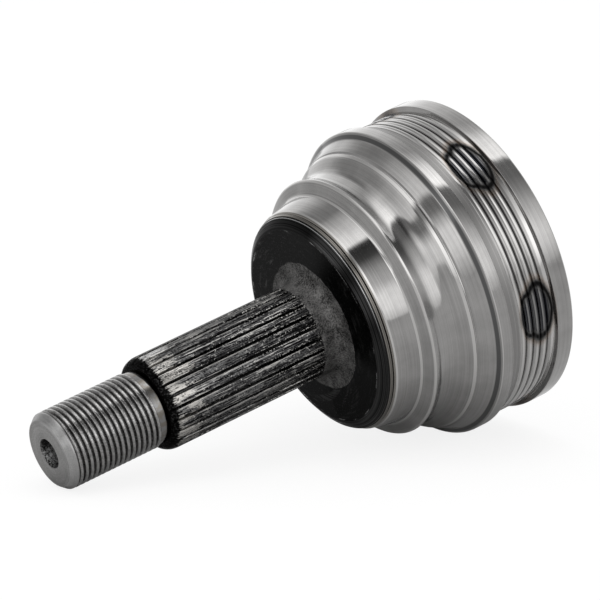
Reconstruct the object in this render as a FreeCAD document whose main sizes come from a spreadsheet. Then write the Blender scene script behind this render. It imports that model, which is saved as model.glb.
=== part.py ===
import FreeCAD
import Part
import Sketcher
import math
import os

# Fixed ball joint of a drive shaft: bell and stub, ball cage, inner race, six balls, circlip.
# Millimetres. X is the joint axis, +X points out of the open mouth, +Z is up.
# The origin is the joint centre: the middle of the inner race, in the plane of the balls.

# Driving sizes, one named value each.
SIZES = {
    # Balls and their tracks.
    "ball_diameter": 16.5,
    "ball_count": 6,
    "track_offset": 4.0,
    "track_clearance": 0.2,
    "track_clock_angle": 38.0,
    "bell_track_half_angle": 52.0,
    "race_track_half_angle": 65.0,
    # Inner race and its splined bore.
    "bore_diameter": 19.5,
    "bore_spline_depth": 0.9,
    "bore_spline_teeth": 24,
    "bore_gap_width": 1.3,
    "bore_chamfer": 1.0,
    "race_front_reach": 9.5,
    "race_back_reach": 11.0,
    "race_wall": 1.8,
    # Ball cage.
    "cage_wall": 5.3,
    "cage_rim": 5.9,
    "cage_bore_diameter": 41.0,
    "cage_clearance": 0.2,
    "window_clearance": 0.5,
    "window_side_play": 1.55,
    # Circlip in the bore.
    "circlip_wire": 1.8,
    "circlip_seat": 0.1,
    "circlip_setback": 1.5,
    "circlip_opening_angle": 40.0,
    # Bell, from the rim towards the stub.
    "rim_reach": 14.5,
    "rim_chamfer": 0.5,
    "mouth_diameter": 67.0,
    "mouth_lip_setback": 4.0,
    "bell_wall": 5.25,
    "cavity_clearance": 1.0,
    "base_wall": 10.0,
    "rim_band_width": 5.4,
    "grip_band_width": 12.9,
    "grip_step": 0.4,
    "grip_groove_depth": 0.4,
    "grip_groove_width": 0.9,
    "grip_groove_spacing": 2.2,
    "grip_groove_setback": 1.9,
    "grip_groove_count": 4,
    "collar_width": 3.3,
    "collar_drop": 0.2,
    "shoulder_width": 1.1,
    "shoulder_drop": 1.8,
    "taper_width": 4.0,
    "taper_drop": 3.7,
    "valley_start_width": 1.3,
    "valley_start_drop": 4.5,
    "valley_side_width": 2.5,
    "valley_drop": 7.0,
    "valley_floor_width": 3.6,
    "hump_width": 2.9,
    "hump_drop": 6.3,
    "step_width": 2.0,
    "step_drop": 10.2,
    "valley_round": 2.5,
    "step_round": 0.8,
    # Neck: the back band, the coated ring and the shoulder face.
    "back_band_drop": 11.6,
    "ring_width": 3.0,
    "ring_slope_width": 2.2,
    "shoulder_diameter": 51.2,
    "ring_round": 1.6,
    "neck_round": 4.6,
    # Stub: spline, relief, thread and tip.
    "spline_diameter": 24.0,
    "spline_length": 43.0,
    "spline_teeth": 24,
    "spline_depth": 1.1,
    "spline_gap_width": 1.5,
    "spline_chamfer_length": 2.8,
    "spline_chamfer_drop": 1.5,
    "relief_diameter": 19.1,
    "relief_length": 2.4,
    "thread_diameter": 19.8,
    "thread_pitch": 1.5,
    "thread_depth": 0.9,
    "thread_length": 23.8,
    "tip_chamfer_length": 1.8,
    "tip_diameter": 16.9,
    "tip_hole_diameter": 8.0,
    "tip_hole_depth": 6.0,
    "tip_hole_cone": 2.2,
}

# Sizes and places that follow from the driving ones.
PLACES = {
    # Radius of the ball centres' arcs: the wall left under a track at the race's front face sets it.
    "ball_radius": "Sizes.ball_diameter / 2",
    "groove_radius": "ball_radius + Sizes.track_clearance",
    "bore_outer": "Sizes.bore_diameter / 2 + Sizes.bore_spline_depth",
    "track_floor": "sqrt((bore_outer + Sizes.race_wall) ^ 2 + (Sizes.race_front_reach + Sizes.track_offset) ^ 2)",
    "track_radius": "track_floor + groove_radius",
    "ball_pitch": "sqrt(track_radius ^ 2 - Sizes.track_offset ^ 2)",
    # Concentric spheres of the races and the cage.
    "race_sphere": "ball_pitch - Sizes.cage_wall / 2 - Sizes.cage_clearance",
    "cage_inner": "race_sphere + Sizes.cage_clearance",
    "cage_outer": "cage_inner + Sizes.cage_wall",
    "bell_sphere": "cage_outer + Sizes.cage_clearance",
    "window_half": "ball_radius + Sizes.window_clearance",
    "window_side": "ball_radius + Sizes.window_side_play",
    "cage_half": "window_half + Sizes.cage_rim",
    "cage_bore": "Sizes.cage_bore_diameter / 2",
    # Circlip.
    "circlip_place": "-Sizes.race_back_reach + Sizes.circlip_setback + Sizes.circlip_wire / 2",
    "circlip_radius": "bore_outer",
    "circlip_groove": "circlip_radius + Sizes.circlip_wire / 2 + Sizes.circlip_seat",
    "circlip_groove_half": "Sizes.circlip_wire / 2 + Sizes.circlip_seat",
    # Bell, from the rim towards the stub.
    "bell_radius": "track_radius + groove_radius + Sizes.bell_wall",
    "cavity_end": "-(race_sphere + Sizes.cavity_clearance)",
    "lip_end": "Sizes.rim_reach - Sizes.mouth_lip_setback",
    "rim_band_end": "Sizes.rim_reach - Sizes.rim_band_width",
    "grip_start": "rim_band_end - Sizes.grip_step",
    "grip_end": "grip_start - Sizes.grip_band_width",
    "collar_start": "grip_end - Sizes.collar_drop",
    "collar_end": "collar_start - Sizes.collar_width",
    "shoulder_end": "collar_end - Sizes.shoulder_width",
    "taper_end": "shoulder_end - Sizes.taper_width",
    "valley_start": "taper_end - Sizes.valley_start_width",
    "valley_top": "valley_start - Sizes.valley_side_width",
    "valley_end": "valley_top - Sizes.valley_floor_width",
    "hump_edge": "valley_end - Sizes.hump_width",
    "step_end": "hump_edge - Sizes.step_width",
    "grip_radius": "bell_radius - Sizes.grip_step",
    "collar_radius": "bell_radius - Sizes.collar_drop",
    "shoulder_radius": "bell_radius - Sizes.shoulder_drop",
    "taper_radius": "bell_radius - Sizes.taper_drop",
    "valley_start_radius": "bell_radius - Sizes.valley_start_drop",
    "valley_radius": "bell_radius - Sizes.valley_drop",
    "hump_radius": "bell_radius - Sizes.hump_drop",
    "step_radius": "bell_radius - Sizes.step_drop",
    "back_band_radius": "bell_radius - Sizes.back_band_drop",
    # Neck and stub.
    "shoulder_face": "cavity_end - Sizes.base_wall",
    "ring_start": "shoulder_face + Sizes.ring_width",
    "ring_slope": "shoulder_face + Sizes.ring_slope_width",
    "ring_radius": "back_band_radius - (Sizes.ring_width - Sizes.ring_slope_width) / 2",
    "spline_radius": "Sizes.spline_diameter / 2",
    "spline_start": "shoulder_face - Sizes.neck_round",
    "spline_end": "spline_start - Sizes.spline_length",
    "spline_tip": "spline_end - Sizes.spline_chamfer_length",
    "spline_root": "spline_radius - Sizes.spline_depth",
    "relief_radius": "Sizes.relief_diameter / 2",
    "relief_end": "spline_tip - Sizes.relief_length",
    "thread_radius": "Sizes.thread_diameter / 2",
    "thread_root": "thread_radius - Sizes.thread_depth",
    "thread_end": "relief_end - Sizes.thread_length",
    "tip_face": "thread_end - Sizes.tip_chamfer_length",
    "tip_hole_radius": "Sizes.tip_hole_diameter / 2",
    "tip_hole_end": "tip_face + Sizes.tip_hole_depth",
}

# Patterned grooves: how far apart the sides of a V groove stand at its floor, as a share of its width.
FLOOR_SHARE = 0.4
# How far a cutting outline reaches past the surface that it cuts.
OVERCUT = 1.0

document = FreeCAD.newDocument("cv_joint")


def make_sheet(name, rows):
    """A spreadsheet with one aliased cell for each named value."""
    sheet = document.addObject("Spreadsheet::Sheet", name)
    for row, (alias, content) in enumerate(rows.items(), start=1):
        sheet.set(f"A{row}", alias)
        sheet.setAlias(f"B{row}", alias)
        sheet.set(f"B{row}", f"={content}" if isinstance(content, str) else str(content))
    document.recompute()
    return sheet


sizes = make_sheet("Sizes", SIZES)
places = make_sheet("Places", PLACES)


def size(alias):
    """The number in an aliased cell of either sheet."""
    return float(getattr(sizes if alias in SIZES else places, alias))


def bound(expression):
    """The same expression with every alias written as its sheet and name."""
    words = []
    for word in expression.split():
        bare = word.strip("()-")
        if bare in SIZES:
            word = word.replace(bare, f"Sizes.{bare}")
        elif bare in PLACES:
            word = word.replace(bare, f"Places.{bare}")
        words.append(word)
    return " ".join(words)


def value(expression):
    """What an expression of aliases comes to, as a number."""
    return float(places.evalExpression(bound(expression)))


def origin_plane(body, role):
    """One of the body's own origin planes."""
    return next(feature for feature in body.Origin.OriginFeatures if feature.Role == role)


def new_body(label, clock=True):
    """A body named after its piece; with clock set, turned about X so that a track stands at the clock angle."""
    body = document.addObject("PartDesign::Body", label)
    body.Label = label
    if clock:
        body.Placement = FreeCAD.Placement(
            FreeCAD.Vector(0, 0, 0),
            FreeCAD.Rotation(FreeCAD.Vector(1, 0, 0), 0),
        )
        body.setExpression("Placement.Rotation.Angle", bound("track_clock_angle"))
    return body


def new_sketch(body, name, role, offset=None):
    """A sketch on one of the body's origin planes, shifted along the plane's normal."""
    sketch = body.newObject("Sketcher::SketchObject", name)
    sketch.AttachmentSupport = [(origin_plane(body, role), "")]
    sketch.MapMode = "FlatFace"
    if offset is not None:
        sketch.setExpression("AttachmentOffset.Base.z", bound(offset))
    return sketch


def bind(sketch, constraint, expression):
    """Add a dimension to a sketch and bind it to the sheets."""
    index = sketch.addConstraint(constraint)
    sketch.setExpression(f"Constraints[{index}]", bound(expression))


def draw_outline(sketch, corners, arcs=None):
    """A closed outline. A corner is a pair of expressions; arcs gives the edges that are arcs about the origin.

    A corner on an arc has None as its second expression, because the arc's radius sets it.
    """
    arcs = arcs or {}
    count = len(corners)
    points = []
    for index, (across, up) in enumerate(corners):
        along = value(across)
        if up is None:
            radius = value(arcs.get(index) or arcs[index - 1])
            points.append(FreeCAD.Vector(along, math.sqrt(radius ** 2 - along ** 2), 0))
        else:
            points.append(FreeCAD.Vector(along, value(up), 0))
    ends = []
    for index in range(count):
        start = points[index]
        end = points[(index + 1) % count]
        if index not in arcs:
            sketch.addGeometry(Part.LineSegment(start, end))
            ends.append((1, 2))
            continue
        radius = value(arcs[index])
        circle = Part.Circle(FreeCAD.Vector(0, 0, 0), FreeCAD.Vector(0, 0, 1), radius)
        angles = sorted(math.atan2(point.y, point.x) for point in (start, end))
        sketch.addGeometry(Part.ArcOfCircle(circle, *angles))
        ends.append((1, 2) if math.atan2(start.y, start.x) < math.atan2(end.y, end.x) else (2, 1))
    for index in range(count):
        following = (index + 1) % count
        sketch.addConstraint(
            Sketcher.Constraint("Coincident", index, ends[index][1], following, ends[following][0])
        )
        if index in arcs:
            sketch.addConstraint(Sketcher.Constraint("Coincident", index, 3, -1, 1))
            bind(sketch, Sketcher.Constraint("Radius", index, value(arcs[index])), arcs[index])
    for index, (across, up) in enumerate(corners):
        corner = (index, ends[index][0])
        bind(sketch, Sketcher.Constraint("DistanceX", -1, 1, *corner, value(across)), across)
        if up == "0":
            sketch.addConstraint(Sketcher.Constraint("PointOnObject", *corner, -1))
        elif up is not None:
            bind(sketch, Sketcher.Constraint("DistanceY", -1, 1, *corner, value(up)), up)


def turn_outline(body, name, corners, arcs=None, kind="PartDesign::Revolution"):
    """A section turned once about the X axis, as added or removed material."""
    sketch = new_sketch(body, f"{name}_section", "XZ_Plane")
    draw_outline(sketch, corners, arcs)
    feature = body.newObject(kind, name)
    feature.Profile = sketch
    feature.ReferenceAxis = (sketch, ["H_Axis"])
    feature.Angle = 360
    document.recompute()
    return feature


def round_edges(body, name, spots, radius):
    """Round the circular edges of the body at the given places and radii."""
    wanted = [(value(along), value(out)) for along, out in spots]
    base = body.Tip
    edges = []
    for index, edge in enumerate(base.Shape.Edges, start=1):
        if not isinstance(edge.Curve, Part.Circle):
            continue
        spot = (edge.Curve.Center.x, edge.Curve.Radius)
        if any(math.dist(spot, place) < 1e-3 for place in wanted):
            edges.append(f"Edge{index}")
    if len(edges) != len(wanted):
        raise RuntimeError(f"{name}: {len(edges)} edges found for {len(wanted)} places")
    fillet = body.newObject("PartDesign::Fillet", name)
    fillet.Base = (base, edges)
    fillet.setExpression("Radius", bound(radius))
    document.recompute()
    return fillet


def pattern_round(body, name, feature, count):
    """Repeat a cut round the X axis."""
    pattern = body.newObject("PartDesign::PolarPattern", name)
    pattern.Originals = [feature]
    pattern.Axis = (origin_plane(body, "X_Axis"), [""])
    pattern.Angle = 360
    pattern.setExpression("Occurrences", bound(count))
    body.Tip = pattern
    document.recompute()
    return pattern


def pattern_along(body, name, feature, spacing, count):
    """Repeat a cut along the X axis, towards the stub."""
    pattern = body.newObject("PartDesign::LinearPattern", name)
    pattern.Originals = [feature]
    pattern.Direction = (origin_plane(body, "X_Axis"), [""])
    pattern.Reversed = True
    pattern.setExpression("Length", bound(f"{spacing} * ( {count} - 1 )"))
    pattern.setExpression("Occurrences", bound(count))
    body.Tip = pattern
    document.recompute()
    return pattern


def track_groove(body, name, centre, half_angle):
    """One ball track: a circle swept round the cross axis through the track centre."""
    sketch = new_sketch(body, f"{name}_section", "YZ_Plane", centre)
    circle = Part.Circle(FreeCAD.Vector(0, size("track_radius"), 0), FreeCAD.Vector(0, 0, 1), size("groove_radius"))
    sketch.addGeometry(circle)
    sketch.addConstraint(Sketcher.Constraint("PointOnObject", 0, 3, -2))
    bind(sketch, Sketcher.Constraint("DistanceY", -1, 1, 0, 3, size("track_radius")), "track_radius")
    bind(sketch, Sketcher.Constraint("Radius", 0, size("groove_radius")), "groove_radius")
    groove = body.newObject("PartDesign::Groove", name)
    groove.Profile = sketch
    groove.ReferenceAxis = (sketch, ["H_Axis"])
    groove.Midplane = True
    groove.setExpression("Angle", bound(f"2 * {half_angle}"))
    document.recompute()
    return groove


def ring_groove(body, name, place, width, crest, floor):
    """One V groove round the X axis, its middle at a place, from the crest radius down to the floor."""
    half = f"{width} / 2"
    inner = f"{FLOOR_SHARE} * {half}"
    corners = [
        (f"{place} - {half}", crest),
        (f"{place} - {half}", f"{crest} + {OVERCUT}"),
        (f"{place} + {half}", f"{crest} + {OVERCUT}"),
        (f"{place} + {half}", crest),
        (f"{place} + {inner}", floor),
        (f"{place} - {inner}", floor),
    ]
    return turn_outline(body, name, corners, kind="PartDesign::Groove")


def tooth_gap(body, name, start, length, width, mouth, floor):
    """One gap between spline teeth, narrower at its floor, cut from a place towards the stub."""
    sketch = new_sketch(body, f"{name}_section", "YZ_Plane", start)
    half = f"{width} / 2"
    corners = [
        (f"-1 * {half}", mouth),
        (half, mouth),
        (f"{FLOOR_SHARE} * {half}", floor),
        (f"-{FLOOR_SHARE} * {half}", floor),
    ]
    draw_outline(sketch, corners)
    gap = body.newObject("PartDesign::Pocket", name)
    gap.Profile = sketch
    gap.Type = "Length"
    gap.setExpression("Length", bound(length))
    document.recompute()
    return gap


def make_outer_race():
    """Bell, neck and stub: one forging with six ball tracks, a spline and a thread."""
    body = new_body("outer_race")
    forging = [
        ("tip_face", "0"),
        ("rim_reach", "0"),
        ("rim_reach", "bell_radius - rim_chamfer"),
        ("rim_reach - rim_chamfer", "bell_radius"),
        ("rim_band_end", "bell_radius"),
        ("grip_start", "grip_radius"),
        ("grip_end", "grip_radius"),
        ("collar_start", "collar_radius"),
        ("collar_end", "collar_radius"),
        ("shoulder_end", "shoulder_radius"),
        ("taper_end", "taper_radius"),
        ("valley_start", "valley_start_radius"),
        ("valley_top", "valley_radius"),
        ("valley_end", "valley_radius"),
        ("hump_edge", "hump_radius"),
        ("step_end", "step_radius"),
        ("ring_start", "back_band_radius"),
        ("ring_slope", "ring_radius"),
        ("shoulder_face", "shoulder_diameter / 2"),
        ("shoulder_face", "spline_radius"),
        ("spline_end", "spline_radius"),
        ("spline_tip", "spline_radius - spline_chamfer_drop"),
        ("spline_tip", "relief_radius"),
        ("relief_end", "relief_radius"),
        ("relief_end", "thread_radius"),
        ("thread_end", "thread_radius"),
        ("tip_face", "tip_diameter / 2"),
    ]
    turn_outline(body, "forging", forging)
    valley = [("valley_top", "valley_radius"), ("valley_end", "valley_radius")]
    round_edges(body, "valley_rounding", valley, "valley_round")
    steps = [("hump_edge", "hump_radius"), ("step_end", "step_radius")]
    round_edges(body, "step_rounding", steps, "step_round")
    round_edges(body, "ring_rounding", [("shoulder_face", "shoulder_diameter / 2")], "ring_round")
    round_edges(body, "neck_rounding", [("shoulder_face", "spline_radius")], "neck_round")
    cavity = [
        ("cavity_end", "0"),
        ("cavity_end", None),
        ("lip_end", None),
        ("rim_reach", "mouth_diameter / 2"),
        (f"rim_reach + {OVERCUT}", "mouth_diameter / 2"),
        (f"rim_reach + {OVERCUT}", "0"),
    ]
    turn_outline(body, "cavity", cavity, {1: "bell_sphere"}, "PartDesign::Groove")
    track = track_groove(body, "track", "track_offset", "bell_track_half_angle")
    pattern_round(body, "tracks", track, "ball_count")
    grip_place = "grip_start - grip_groove_setback"
    grip_floor = "grip_radius - grip_groove_depth"
    grip = ring_groove(body, "grip_groove", grip_place, "grip_groove_width", "grip_radius", grip_floor)
    pattern_along(body, "grip_grooves", grip, "grip_groove_spacing", "grip_groove_count")
    gap_length = "spline_length + spline_chamfer_length"
    gap_mouth = f"spline_radius + {OVERCUT}"
    gap = tooth_gap(body, "spline_gap", "spline_start", gap_length, "spline_gap_width", gap_mouth, "spline_root")
    pattern_round(body, "spline_gaps", gap, "spline_teeth")
    turn_place = "relief_end - thread_pitch / 2"
    turn = ring_groove(body, "thread_groove", turn_place, "thread_pitch", "thread_radius", "thread_root")
    pattern_along(body, "thread", turn, "thread_pitch", "floor( thread_length / thread_pitch )")
    tip_hole = [
        (f"tip_face - {OVERCUT}", "0"),
        (f"tip_face - {OVERCUT}", "tip_hole_radius"),
        ("tip_hole_end", "tip_hole_radius"),
        ("tip_hole_end + tip_hole_cone", "0"),
    ]
    turn_outline(body, "tip_hole", tip_hole, kind="PartDesign::Groove")
    return body


def make_inner_race():
    """Ball star on the shaft: a sphere with six tracks, a splined bore and a circlip groove."""
    body = new_body("inner_race")
    bore = "bore_diameter / 2"
    star = [
        ("-race_back_reach", None),
        ("race_front_reach", None),
        ("race_front_reach", f"{bore} + bore_chamfer"),
        ("race_front_reach - bore_chamfer", bore),
        ("circlip_place + circlip_groove_half", bore),
        ("circlip_place + circlip_groove_half", "circlip_groove"),
        ("circlip_place - circlip_groove_half", "circlip_groove"),
        ("circlip_place - circlip_groove_half", bore),
        ("-race_back_reach + bore_chamfer", bore),
        ("-race_back_reach", f"{bore} + bore_chamfer"),
    ]
    turn_outline(body, "star", star, {0: "race_sphere"})
    track = track_groove(body, "track", "-track_offset", "race_track_half_angle")
    pattern_round(body, "tracks", track, "ball_count")
    width = "race_front_reach + race_back_reach"
    mouth = f"{bore} - {OVERCUT}"
    gap = tooth_gap(body, "bore_gap", "race_front_reach", width, "bore_gap_width", mouth, "bore_outer")
    pattern_round(body, "bore_gaps", gap, "bore_spline_teeth")
    return body


def make_cage():
    """Ball cage: a spherical ring with a window for each ball."""
    body = new_body("ball_cage")
    barrel = [
        ("-cage_half", "0"),
        ("-cage_half", None),
        ("cage_half", None),
        ("cage_half", "0"),
    ]
    turn_outline(body, "barrel", barrel, {1: "cage_outer"})
    bore = [
        (f"-cage_half - {OVERCUT}", "0"),
        (f"-cage_half - {OVERCUT}", "cage_bore"),
        (f"cage_half + {OVERCUT}", "cage_bore"),
        (f"cage_half + {OVERCUT}", "0"),
    ]
    turn_outline(body, "bore", bore, kind="PartDesign::Groove")
    race_seat = body.newObject("PartDesign::SubtractiveSphere", "race_seat")
    race_seat.setExpression("Radius", bound("cage_inner"))
    document.recompute()
    sketch = new_sketch(body, "window_section", "XY_Plane", f"cage_outer + {OVERCUT}")
    corners = [
        ("-window_half", "-window_side"),
        ("window_half", "-window_side"),
        ("window_half", "window_side"),
        ("-window_half", "window_side"),
    ]
    draw_outline(sketch, corners)
    window = body.newObject("PartDesign::Pocket", "window")
    window.Profile = sketch
    window.Type = "Length"
    window.setExpression("Length", bound(f"cage_outer + {OVERCUT}"))
    document.recompute()
    pattern_round(body, "windows", window, "ball_count")
    return body


def make_circlip():
    """Open wire ring in the bore's groove; its opening faces up."""
    body = new_body("circlip", clock=False)
    sketch = new_sketch(body, "wire_section", "XZ_Plane")
    centre = FreeCAD.Vector(size("circlip_place"), size("circlip_radius"), 0)
    sketch.addGeometry(Part.Circle(centre, FreeCAD.Vector(0, 0, 1), size("circlip_wire") / 2))
    bind(sketch, Sketcher.Constraint("DistanceX", -1, 1, 0, 3, centre.x), "circlip_place")
    bind(sketch, Sketcher.Constraint("DistanceY", -1, 1, 0, 3, centre.y), "circlip_radius")
    bind(sketch, Sketcher.Constraint("Radius", 0, size("circlip_wire") / 2), "circlip_wire / 2")
    ring = body.newObject("PartDesign::Revolution", "wire_ring")
    ring.Profile = sketch
    ring.ReferenceAxis = (sketch, ["H_Axis"])
    ring.setExpression("Angle", bound("360 - circlip_opening_angle"))
    body.Placement = FreeCAD.Placement(
        FreeCAD.Vector(0, 0, 0),
        FreeCAD.Rotation(FreeCAD.Vector(1, 0, 0), 0),
    )
    body.setExpression("Placement.Rotation.Angle", bound("circlip_opening_angle / 2"))
    document.recompute()
    return body


def make_ball(number):
    """One steel ball, in the plane of the joint centre and in line with its track."""
    ball = document.addObject("Part::Sphere", f"ball_{number}")
    ball.Label = f"ball_{number}"
    angle = f"track_clock_angle + 360 / ball_count * {number - 1}"
    ball.setExpression("Radius", bound("ball_radius"))
    ball.setExpression("Placement.Base.y", bound(f"-1 * ball_pitch * sin( {angle} )"))
    ball.setExpression("Placement.Base.z", bound(f"ball_pitch * cos( {angle} )"))
    document.recompute()
    return ball


def check_and_export(pieces):
    """Stop on any failed object or bad shape, then write one STEP file for each piece."""
    for item in document.Objects:
        if {"Invalid", "Error"} & set(item.State):
            raise RuntimeError(f"{item.Label} failed: {item.State}")
    for piece in pieces:
        if piece.Shape.isNull() or not piece.Shape.isValid() or len(piece.Shape.Solids) != 1:
            raise RuntimeError(f"{piece.Label} is not one sound solid")
    os.makedirs("parts", exist_ok=True)
    for piece in pieces:
        piece.Shape.exportStep(f"parts/{piece.Label}.step")
        print(f"{piece.Label}: {piece.Shape.Volume / 1000:.2f} cm3, {len(piece.Shape.Faces)} faces")


pieces = [make_outer_race(), make_inner_race(), make_cage(), make_circlip()]
pieces += [make_ball(number) for number in range(1, int(size("ball_count")) + 1)]
document.recompute()
check_and_export(pieces)
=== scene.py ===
import logging
import math
from dataclasses import dataclass
from enum import Enum
from typing import ClassVar, Iterable, Mapping, Sequence, Union

import bmesh
import bpy
from mathutils import Matrix, Vector


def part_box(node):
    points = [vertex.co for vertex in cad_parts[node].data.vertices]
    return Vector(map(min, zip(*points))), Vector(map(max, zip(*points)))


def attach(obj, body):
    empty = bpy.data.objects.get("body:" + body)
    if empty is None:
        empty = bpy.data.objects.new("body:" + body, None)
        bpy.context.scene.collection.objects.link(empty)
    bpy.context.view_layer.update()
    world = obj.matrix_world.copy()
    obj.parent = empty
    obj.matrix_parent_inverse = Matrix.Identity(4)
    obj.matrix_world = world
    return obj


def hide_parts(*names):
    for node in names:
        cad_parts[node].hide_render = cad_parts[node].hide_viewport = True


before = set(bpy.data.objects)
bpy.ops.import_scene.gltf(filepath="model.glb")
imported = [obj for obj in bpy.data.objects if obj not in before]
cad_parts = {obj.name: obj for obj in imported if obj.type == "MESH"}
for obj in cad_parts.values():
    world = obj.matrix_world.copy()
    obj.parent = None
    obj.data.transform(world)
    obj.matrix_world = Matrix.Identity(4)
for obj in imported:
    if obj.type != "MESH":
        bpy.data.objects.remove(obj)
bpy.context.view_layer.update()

log = logging.getLogger("cv_joint")

MM = 0.001
TRACK_COUNT = 6
TOOTH_COUNT = 24
FIRST_TURN = math.radians(38.0)
SMALL_ROUND = 0.3

Number = Union[float, "Value"]
Colour = tuple[float, float, float, float]
Stops = Sequence[tuple[float, float]]


class Body(Enum):
    """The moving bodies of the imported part."""

    BELL = "outer_race"
    STAR = "inner_race"
    CAGE = "ball_cage"


class Slot(Enum):
    """The record's material slots."""

    RACE = "race_steel"
    GROUND = "ground_steel"
    CAGE = "cage_steel"
    SPRING = "spring_steel"
    BALL = "ball_steel"


def grey(level: float, warmth: float = 0.0) -> Colour:
    """A linear grey, a little warmer or cooler than neutral."""
    return (level * (1 + warmth), level, level * (1 - warmth), 1.0)


class Tree:
    """A node tree that is written down as Python expressions."""

    def __init__(self, nodes: bpy.types.NodeTree) -> None:
        """Wrap an empty node tree.

        Args:
            nodes: the tree that new nodes go into.
        """
        self.tree = nodes

    def node(
        self, kind: str, inputs: Mapping[int | str, object] | None = None, **settings: object
    ) -> bpy.types.Node:
        """Add one node.

        Args:
            kind: the node's type.
            inputs: what each input socket gets: a number, a colour, a socket, a node or a Value.
            settings: properties of the node, set before its sockets; "stops" is a colour ramp's list.

        Returns:
            The new node.
        """
        made = self.tree.nodes.new(kind)
        for name, setting in settings.items():
            if name == "stops":
                self._set_stops(made.color_ramp, setting)
            else:
                setattr(made, name, setting)
        for key, given in (inputs or {}).items():
            self.feed(made.inputs[key], given)
        return made

    def feed(self, socket: bpy.types.NodeSocket, given: object) -> None:
        """Link or set one input socket.

        Args:
            socket: the input.
            given: a number, a colour, a socket, a Value, or a node, which stands for its first output.
        """
        if isinstance(given, Value):
            given = given.socket
        if isinstance(given, bpy.types.Node):
            given = given.outputs[0]
        if isinstance(given, bpy.types.NodeSocket):
            self.tree.links.new(given, socket)
        else:
            socket.default_value = given

    @staticmethod
    def _set_stops(ramp: bpy.types.ColorRamp, stops: Stops) -> None:
        """Give a colour ramp its grey stops.

        Args:
            ramp: the colour ramp.
            stops: (place, grey level), from left to right.
        """
        while len(ramp.elements) < len(stops):
            ramp.elements.new(0.5)
        for element, (place, level) in zip(ramp.elements, stops):
            element.position = place
            element.color = grey(level)

    def value(self, given: bpy.types.Node | bpy.types.NodeSocket) -> "Value":
        """A socket, or a node's first output, as a number to reckon with."""
        return Value(self, given.outputs[0] if isinstance(given, bpy.types.Node) else given)

    def vector(self, *parts: object) -> bpy.types.Node:
        """A vector from its three numbers."""
        return self.node("ShaderNodeCombineXYZ", dict(enumerate(parts)))


class Value:
    """A number from a node; its operators add Math nodes."""

    def __init__(self, tree: Tree, socket: bpy.types.NodeSocket) -> None:
        """Wrap an output socket.

        Args:
            tree: the tree that the socket belongs to.
            socket: the output that gives the number.
        """
        self.tree = tree
        self.socket = socket

    def math(self, operation: str, *others: Number) -> "Value":
        """One Math node with this number as its first input."""
        inputs = dict(enumerate((self, *others)))
        return self.tree.value(self.tree.node("ShaderNodeMath", inputs, operation=operation))

    def reflected(self, operation: str, other: Number) -> "Value":
        """One Math node with this number as its second input."""
        inputs = {0: other, 1: self}
        return self.tree.value(self.tree.node("ShaderNodeMath", inputs, operation=operation))

    def __add__(self, other: Number) -> "Value":
        """Sum."""
        return self.math("ADD", other)

    def __radd__(self, other: Number) -> "Value":
        """Sum."""
        return self.math("ADD", other)

    def __sub__(self, other: Number) -> "Value":
        """Difference."""
        return self.math("SUBTRACT", other)

    def __rsub__(self, other: Number) -> "Value":
        """Difference from a number."""
        return self.reflected("SUBTRACT", other)

    def __mul__(self, other: Number) -> "Value":
        """Product."""
        return self.math("MULTIPLY", other)

    def __rmul__(self, other: Number) -> "Value":
        """Product."""
        return self.math("MULTIPLY", other)

    def __truediv__(self, other: Number) -> "Value":
        """Quotient."""
        return self.math("DIVIDE", other)

    def __rtruediv__(self, other: Number) -> "Value":
        """Quotient of a number."""
        return self.reflected("DIVIDE", other)

    def either(self, other: Number) -> "Value":
        """The larger of two numbers."""
        return self.math("MAXIMUM", other)

    def swing(self, amount: float) -> "Value":
        """Noise from 0 to 1 turned into a deviation to both sides of 0."""
        return (self - 0.5) * amount

    def blend(self, first: Number, second: Number) -> "Value":
        """A number that goes from one to another as this one goes from 0 to 1."""
        return first + self * (second - first)

    def rise(self, low: Number, high: Number) -> "Value":
        """A soft step from 0 at low to 1 at high."""
        inputs = {0: self, 1: low, 2: high}
        return self.tree.value(
            self.tree.node("ShaderNodeMapRange", inputs, interpolation_type="SMOOTHSTEP")
        )

    def fall(self, low: Number, high: Number) -> "Value":
        """A soft step from 1 at low to 0 at high."""
        return 1 - self.rise(low, high)

    def band(self, low: float, high: float, soft: float) -> "Value":
        """1 between two places and 0 outside them, with soft ends."""
        return self.rise(low - soft, low + soft) * self.fall(high - soft, high + soft)


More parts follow.
